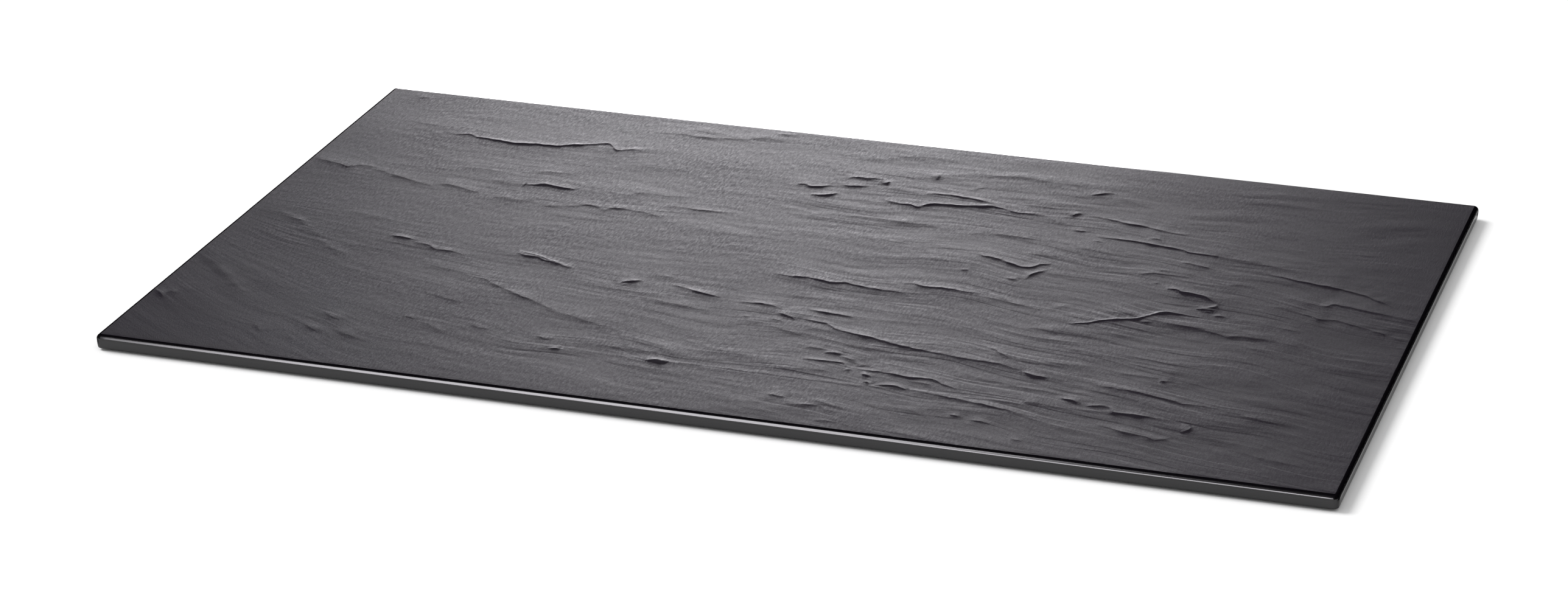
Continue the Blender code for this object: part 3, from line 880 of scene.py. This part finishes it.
class BoardMesh:
    """Gathers the board's vertices and faces, and each face's zone."""

    def __init__(self):
        self.vertices = []
        self.faces = []
        self.zones = []

    def add_vertices(self, points):
        first = len(self.vertices)
        self.vertices += [tuple(point) for point in points]
        return list(range(first, len(self.vertices)))

    def add_faces(self, faces, zone):
        self.faces += faces
        self.zones += [zone] * len(faces)

    def strip(self, upper, lower, zone):
        after = [*range(1, len(upper)), 0]
        quads = [(upper[at], lower[at], lower[to], upper[to]) for at, to in enumerate(after)]
        self.add_faces(quads, zone)

    def cover(self, rings, inner, inner_edges, height, zone, keep=lambda middle: True):
        """Covers the flat inside of the first ring. Later rings are holes' rims, which keep leaves open."""
        known = [vertex for ring in rings for vertex in ring]
        edges = []
        for ring in rings:
            edges += loop_edges(known.index(ring[0]), len(ring))
        edges += [(len(known) + start, len(known) + end) for start, end in inner_edges]
        flat = [self.vertices[vertex][:2] for vertex in known] + list(inner)
        points, triangles, origins = triangulated(flat, edges)
        places = []
        for point, origin in zip(points, origins):
            on_ring = [known[place] for place in origin if place < len(known)]
            places.append(on_ring[0] if on_ring else self.add_vertices([(*point, height)])[0])
        kept = [triangle for triangle in triangles if keep(points[triangle].mean(axis=0))]
        faces = [tuple(places[corner] for corner in triangle) for triangle in kept]
        self.add_faces(faces if zone == RIVEN else [face[::-1] for face in faces], zone)

    def mesh(self, name):
        made = bpy.data.meshes.new(name)
        made.from_pydata(self.vertices, [], self.faces)
        zone = made.attributes.new("zone", "INT", "FACE")
        zone.data.foreach_set("value", np.array(self.zones, dtype=np.int32))
        return made


def foot_seats(sizes):
    """(x, y, radius, roof) of each foot's pocket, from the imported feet."""
    for node in FOOT_NODES:
        low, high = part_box(node)
        radius = (high.x - low.x) / 2 + sizes.pocket_clearance
        yield (low.x + high.x) / 2, (low.y + high.y) / 2, radius, high.z + sizes.pocket_clearance


def board_mesh(sizes):
    """The board as one closed mesh: its face, still flat, its edge and its pocketed underside."""
    board = BoardMesh()
    centres, outward = outline(sizes)
    rings = []
    for inset, height in edge_profile(sizes):
        flat = centres + outward * (sizes.corner_radius - inset)
        rings.append(board.add_vertices(np.column_stack((flat, np.full(len(flat), height)))))
    for upper, lower in zip(rings, rings[1:]):
        board.strip(upper, lower, POLISHED)
    points, edges = face_points(sizes)
    board.cover(rings[:1], points, edges, sizes.face_height, RIVEN)

    mouths = []
    seats = list(foot_seats(sizes))
    turns = np.linspace(0, math.tau, POCKET_SIDES, endpoint=False)
    circle = np.column_stack((np.cos(turns), np.sin(turns)))
    for x, y, radius, roof in seats:
        flat = circle * radius + (x, y)
        mouth = board.add_vertices(np.column_stack((flat, np.full(POCKET_SIDES, sizes.underside))))
        ceiling = board.add_vertices(np.column_stack((flat, np.full(POCKET_SIDES, roof))))
        board.strip(mouth, ceiling, MOULDED)
        board.add_faces([tuple(reversed(ceiling))], MOULDED)
        mouths.append(mouth)

    def outside_pockets(middle):
        return all(math.dist(middle, (x, y)) > radius * POCKET_INSIDE for x, y, radius, _ in seats)

    board.cover([rings[-1], *mouths], [], [], sizes.underside, MOULDED, outside_pockets)
    return board.mesh("riven_board")


def name_relief(mesh, sizes):
    """Stores on the mesh what the relief needs: the traced heights, the grain and how far they show."""
    points = np.empty(len(mesh.vertices) * 3)
    mesh.vertices.foreach_get("co", points)
    points = points.reshape(-1, 3)
    flat = points[:, :2]
    half = np.array((sizes.length, sizes.width)) / 2 - sizes.edge_round
    inside = (half - np.abs(flat)).min(axis=1)
    faded = np.clip(inside / sizes.rim_fade, 0, 1)
    shown = sizes.rim_share + (1 - sizes.rim_share) * faded * faded * (3 - 2 * faded)
    drop = (sizes.face_height - points[:, 2]) / sizes.edge_round
    shown = shown * np.clip(1 - drop, 0, 1)
    height, disturbed = traced_relief(flat)
    folded = np.interp(flat[:, 0], FOLDED_PLACES, FOLDED_SHARES)
    folded = folded * (FOLDED_MEAN + noise_at(flat, FOLDED_PATCH))
    for name, kind, key, values in (
        ("traced", "FLOAT", "value", height),
        ("disturbed", "FLOAT", "value", disturbed),
        ("shown", "FLOAT", "value", shown),
        ("folded", "FLOAT", "value", folded),
        ("grain", "FLOAT_VECTOR", "vector", grain_place(flat).ravel()),
    ):
        mesh.attributes.new(name, kind, "POINT").data.foreach_set(key, values.astype(np.float32))


def relief_tree(values):
    """Geometry nodes that raise the flat face into riven slate and give each zone its finish."""
    nodes, given = node_group("riven relief", values)

    def stored(name, kind="FLOAT"):
        settings = {"data_type": kind}
        return nodes.add("GeometryNodeInputNamedAttribute", settings, {"Name": name}, "Attribute")

    def seeded_noise(along, across, detail):
        scale = nodes.add("ShaderNodeCombineXYZ", {}, {"X": 1 / along, "Y": 1 / across, "Z": 1})
        place = nodes.scaled(stored("grain", "FLOAT_VECTOR"), scale)
        sockets = {"Vector": place, "W": given["Seed"], "Scale": 1, "Detail": detail, "Roughness": 0.5}
        return nodes.add("ShaderNodeTexNoise", {"noise_dimensions": "4D"}, sockets) - 0.5

    folds = seeded_noise(given["Ridge length"], given["Ridge spacing"], RIDGE_DETAIL)
    creased = nodes.add("ShaderNodeMath", {"operation": "ABSOLUTE"}, {0: folds})
    ridges = creased * stored("folded") * given["Ridge height"]
    swells = seeded_noise(given["Swell size"] * SWELL_STRETCH, given["Swell size"], SWELL_DETAIL)
    swells = swells * given["Swell height"]
    traced = stored("traced") * given["Cleft depth"]
    height = (traced + ridges + swells) * stored("shown")
    lift = nodes.add("ShaderNodeCombineXYZ", {}, {"Z": height})
    shape = nodes.add("GeometryNodeSetPosition", {}, {"Geometry": given["Geometry"], "Offset": lift})
    shape = nodes.add("GeometryNodeSetShadeSmooth", {}, {"Geometry": shape})
    shape = nodes.add("GeometryNodeRealizeInstances", {}, {"Geometry": shape})
    for zone, finish in FINISHES.items():
        compared = {COMPARE_FIRST: stored("zone", "INT"), COMPARE_SECOND: zone}
        chosen = nodes.add("FunctionNodeCompare", {"data_type": "INT", "operation": "EQUAL"}, compared)
        sockets = {"Geometry": shape, "Selection": chosen, "Material": given[finish]}
        shape = nodes.add("GeometryNodeSetMaterial", {}, sockets)
    nodes.add("NodeGroupOutput", {}, {"Geometry": shape})
    return nodes


class OBJECT_OT_tray_board_add(bpy.types.Operator):
    """Add the riven slate board with its polished edge and pocketed underside"""

    bl_idname = "object.tray_board_add"
    bl_label = "Add Riven Board"

    def execute(self, context):
        sizes = context.scene.tray_sizes
        colours = context.scene.tray_colours
        mesh = board_mesh(sizes)
        name_relief(mesh, sizes)
        values = {
            **named_values(context.scene.tray_relief),
            FINISHES[RIVEN]: riven_slate(colours.slate),
            FINISHES[POLISHED]: polished_edge(colours.edge),
            FINISHES[MOULDED]: moulded_underside(colours.underside),
        }
        board = shaped_by(new_object("riven_board", mesh), relief_tree(values), values)
        board.data.set_sharp_from_angle(angle=BOARD_SHARP_ANGLE)
        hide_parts("tray_board")
        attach(board, "root")
        return {"FINISHED"}


def feet_tree(values):
    """Geometry nodes that stand a turned foot, rounded at its lower edge, at each point."""
    nodes, given = node_group("anti-slip feet", values)
    sockets = {
        "Vertices": FOOT_SIDES,
        "Side Segments": FOOT_BANDS,
        "Radius": given["Radius"],
        "Depth": given["Height"],
    }
    cylinder = nodes.add("GeometryNodeMeshCylinder", {"fill_type": "NGON"}, sockets, "Mesh")
    position = nodes.add("GeometryNodeInputPosition", output="Position")
    height = nodes.part(position, "Z") + given["Height"] / 2
    short = nodes.add("ShaderNodeMath", {"operation": "MAXIMUM"}, {0: given["Edge"] - height, 1: 0.0})
    drawn_in = given["Edge"] - (given["Edge"] * given["Edge"] - short * short) ** 0.5
    share = 1 - drawn_in / given["Radius"]
    scale = nodes.add("ShaderNodeCombineXYZ", {}, {"X": share, "Y": share, "Z": 1})
    turned = nodes.scaled(position, scale)
    foot = nodes.add("GeometryNodeSetPosition", {}, {"Geometry": cylinder, "Position": turned})
    points = nodes.add("GeometryNodeMeshToPoints", {}, {"Mesh": given["Geometry"]})
    feet = nodes.add("GeometryNodeInstanceOnPoints", {}, {"Points": points, "Instance": foot})
    feet = nodes.add("GeometryNodeRealizeInstances", {}, {"Geometry": feet})
    feet = nodes.add("GeometryNodeSetShadeSmooth", {}, {"Geometry": feet})
    feet = nodes.add("GeometryNodeSetMaterial", {}, {"Geometry": feet, "Material": given["Finish"]})
    nodes.add("NodeGroupOutput", {}, {"Geometry": feet})
    return nodes


class OBJECT_OT_tray_feet_add(bpy.types.Operator):
    """Add the anti-slip feet, standing in the pockets of the underside"""

    bl_idname = "object.tray_feet_add"
    bl_label = "Add Anti-slip Feet"

    def execute(self, context):
        boxes = [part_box(node) for node in FOOT_NODES]
        low, high = boxes[0]
        places = bpy.data.meshes.new("anti_slip_feet")
        places.from_pydata([(first + last) / 2 for first, last in boxes], [], [])
        values = {
            "Radius": (high.x - low.x) / 2,
            "Height": high.z - low.z,
            "Edge": context.scene.tray_sizes.foot_edge,
            "Finish": silicone(context.scene.tray_colours.silicone),
        }
        feet = shaped_by(new_object("anti_slip_feet", places), feet_tree(values), values)
        feet.data.set_sharp_from_angle(angle=FOOT_SHARP_ANGLE)
        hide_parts(*FOOT_NODES)
        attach(feet, "root")
        return {"FINISHED"}


# Camera, worked out from the face's four corners in the photograph
CAMERA_PLACE = (0.5258, -1.6517, 0.7108)
CAMERA_HEADING = math.radians(18.06)
CAMERA_TILT = math.radians(22.61)
CAMERA_ROLL = math.radians(-0.21)
CAMERA_LENS = 98.46

# Softboxes, for reflections alone: a low one behind the tray for the sheen of its face, and a leaning one
# and a low one before it for the highlight along its edge
Softbox = namedtuple("Softbox", "name place target width height radiance colour")
SOFTBOXES = (
    Softbox("rear_softbox", (-0.405, 1.21, 0.165), (0, 0, 0.007), 0.55, 0.20, 32, (1.0, 0.98, 1.02)),
    Softbox("front_softbox", (-0.48, -1.08, 0.72), (-0.48, 0, 0.20), 0.60, 1.25, 14, (1.0, 0.97, 1.02)),
    Softbox("low_softbox", (-0.03, -1.35, 0.30), (-0.03, 0, 0.30), 0.35, 0.36, 16, (1.0, 0.97, 1.02)),
)
# Light that isn't reflected, for the floor: an even dome, and a soft key from the left, whose shadow falls
# on the right
DOME_RADIANCE = 0.7
KEY_IRRADIANCE = 2.4
KEY_PLACE = (-1, 0.1, 1)
KEY_SPREAD = math.radians(30)
FLOOR_SIZE = 12
# Black flags on the floor, seen in reflections alone, darken the rim of the tray beside them
FLAG_GAP = 4 * MM
RIGHT_FLAG_GAP = 8 * MM
FLAG_WIDTH = 0.5
FLAG_HEIGHT = 0.2 * MM


def aimed(obj, place, target):
    obj.location = place
    obj.rotation_euler = (Vector(target) - Vector(place)).to_track_quat("-Z", "Y").to_euler()


def add_softbox(softbox):
    light = bpy.data.lights.new(softbox.name, "AREA")
    light.shape = "RECTANGLE"
    light.size = softbox.width
    light.size_y = softbox.height
    light.energy = softbox.radiance * math.pi * softbox.width * softbox.height
    light.color = softbox.colour
    obj = new_object(softbox.name, light)
    aimed(obj, softbox.place, softbox.target)
    obj.visible_camera = False
    obj.visible_diffuse = False


def add_key():
    light = bpy.data.lights.new("floor_key", "SUN")
    light.energy = KEY_IRRADIANCE
    light.angle = KEY_SPREAD
    obj = new_object("floor_key", light)
    aimed(obj, KEY_PLACE, (0, 0, 0))
    obj.visible_glossy = False


def flat_object(name, rectangles, height, colour):
    """A matt object of level rectangles, each given by its low and its high corner."""
    corners, faces = [], []
    for (left, near), (right, far) in rectangles:
        turn = [(left, near, height), (right, near, height), (right, far, height), (left, far, height)]
        faces.append(range(len(corners), len(corners) + len(turn)))
        corners += turn
    mesh = bpy.data.meshes.new(name)
    mesh.from_pydata(corners, [], faces)
    mesh.materials.append(principled(name, {"Base Color": (*colour, 1), "Roughness": 1, "IOR": 1.0}))
    return new_object(name, mesh)


def add_floor(colour):
    half = FLOOR_SIZE / 2
    flat_object("studio_floor", [((-half, -half), (half, half))], 0, colour)


def add_flags(sizes):
    x, y = sizes.length / 2 + FLAG_GAP, sizes.width / 2 + FLAG_GAP
    left, rear = -x - FLAG_WIDTH, y + FLAG_WIDTH
    beside = sizes.length / 2 + RIGHT_FLAG_GAP
    rectangles = [
        ((left, -y), (-x, y)),
        ((left, y), (x, rear)),
        ((beside, -y), (beside + FLAG_WIDTH, rear)),
    ]
    flags = flat_object("black_flags", rectangles, FLAG_HEIGHT, (0, 0, 0))
    flags.visible_camera = False
    flags.visible_diffuse = False
    flags.visible_shadow = False


def add_dome():
    """A white dome that gives even light and leaves reflections to the softboxes."""
    world = bpy.data.worlds.new("studio_dome")
    bpy.context.scene.world = world
    world.use_nodes = True
    background = world.node_tree.nodes["Background"]
    background.inputs["Color"].default_value = (1, 1, 1, 1)
    background.inputs["Strength"].default_value = DOME_RADIANCE
    world.cycles_visibility.glossy = False


def add_camera():
    camera = bpy.data.cameras.new("photo_camera")
    camera.lens = CAMERA_LENS
    obj = new_object("photo_camera", camera)
    turned = Matrix.Rotation(CAMERA_HEADING, 4, "Z") @ Matrix.Rotation(math.pi / 2 - CAMERA_TILT, 4, "X")
    obj.matrix_world = Matrix.Translation(CAMERA_PLACE) @ turned @ Matrix.Rotation(CAMERA_ROLL, 4, "Z")
    bpy.context.scene.camera = obj


class SCENE_OT_tray_stage_add(bpy.types.Operator):
    """Add the pale floor, the black flags, the dome, the key, the softboxes and the camera"""

    bl_idname = "scene.tray_stage_add"
    bl_label = "Add Stage"

    def execute(self, context):
        add_floor(context.scene.tray_colours.floor)
        add_flags(context.scene.tray_sizes)
        add_dome()
        add_key()
        for softbox in SOFTBOXES:
            add_softbox(softbox)
        add_camera()
        context.scene.view_settings.view_transform = "Standard"
        return {"FINISHED"}


class VIEW3D_PT_tray(bpy.types.Panel):
    """Sizes, relief and colours of the tray, and what adds its pieces"""

    bl_label = "Riven Slate Tray"
    bl_space_type = "VIEW_3D"
    bl_region_type = "UI"
    bl_category = "Tray"

    def draw(self, context):
        scene = context.scene
        for group in (scene.tray_sizes, scene.tray_relief, scene.tray_colours):
            column = self.layout.column(align=True)
            for name in group.__annotations__:
                column.prop(group, name)
        for operator in OPERATORS:
            self.layout.operator(operator.bl_idname)


OPERATORS = (OBJECT_OT_tray_board_add, OBJECT_OT_tray_feet_add, SCENE_OT_tray_stage_add)
GROUPS = {"tray_sizes": TraySizes, "tray_relief": RivenRelief, "tray_colours": TrayColours}
CLASSES = (*GROUPS.values(), *OPERATORS, VIEW3D_PT_tray)


def register():
    for made in CLASSES:
        bpy.utils.register_class(made)
    for name, group in GROUPS.items():
        setattr(bpy.types.Scene, name, bpy.props.PointerProperty(type=group))


def unregister():
    for name in GROUPS:
        delattr(bpy.types.Scene, name)
    for made in reversed(CLASSES):
        bpy.utils.unregister_class(made)


def main():
    register()
    bpy.ops.object.tray_board_add()
    bpy.ops.object.tray_feet_add()
    bpy.ops.scene.tray_stage_add()


if __name__ == "__main__":
    main()
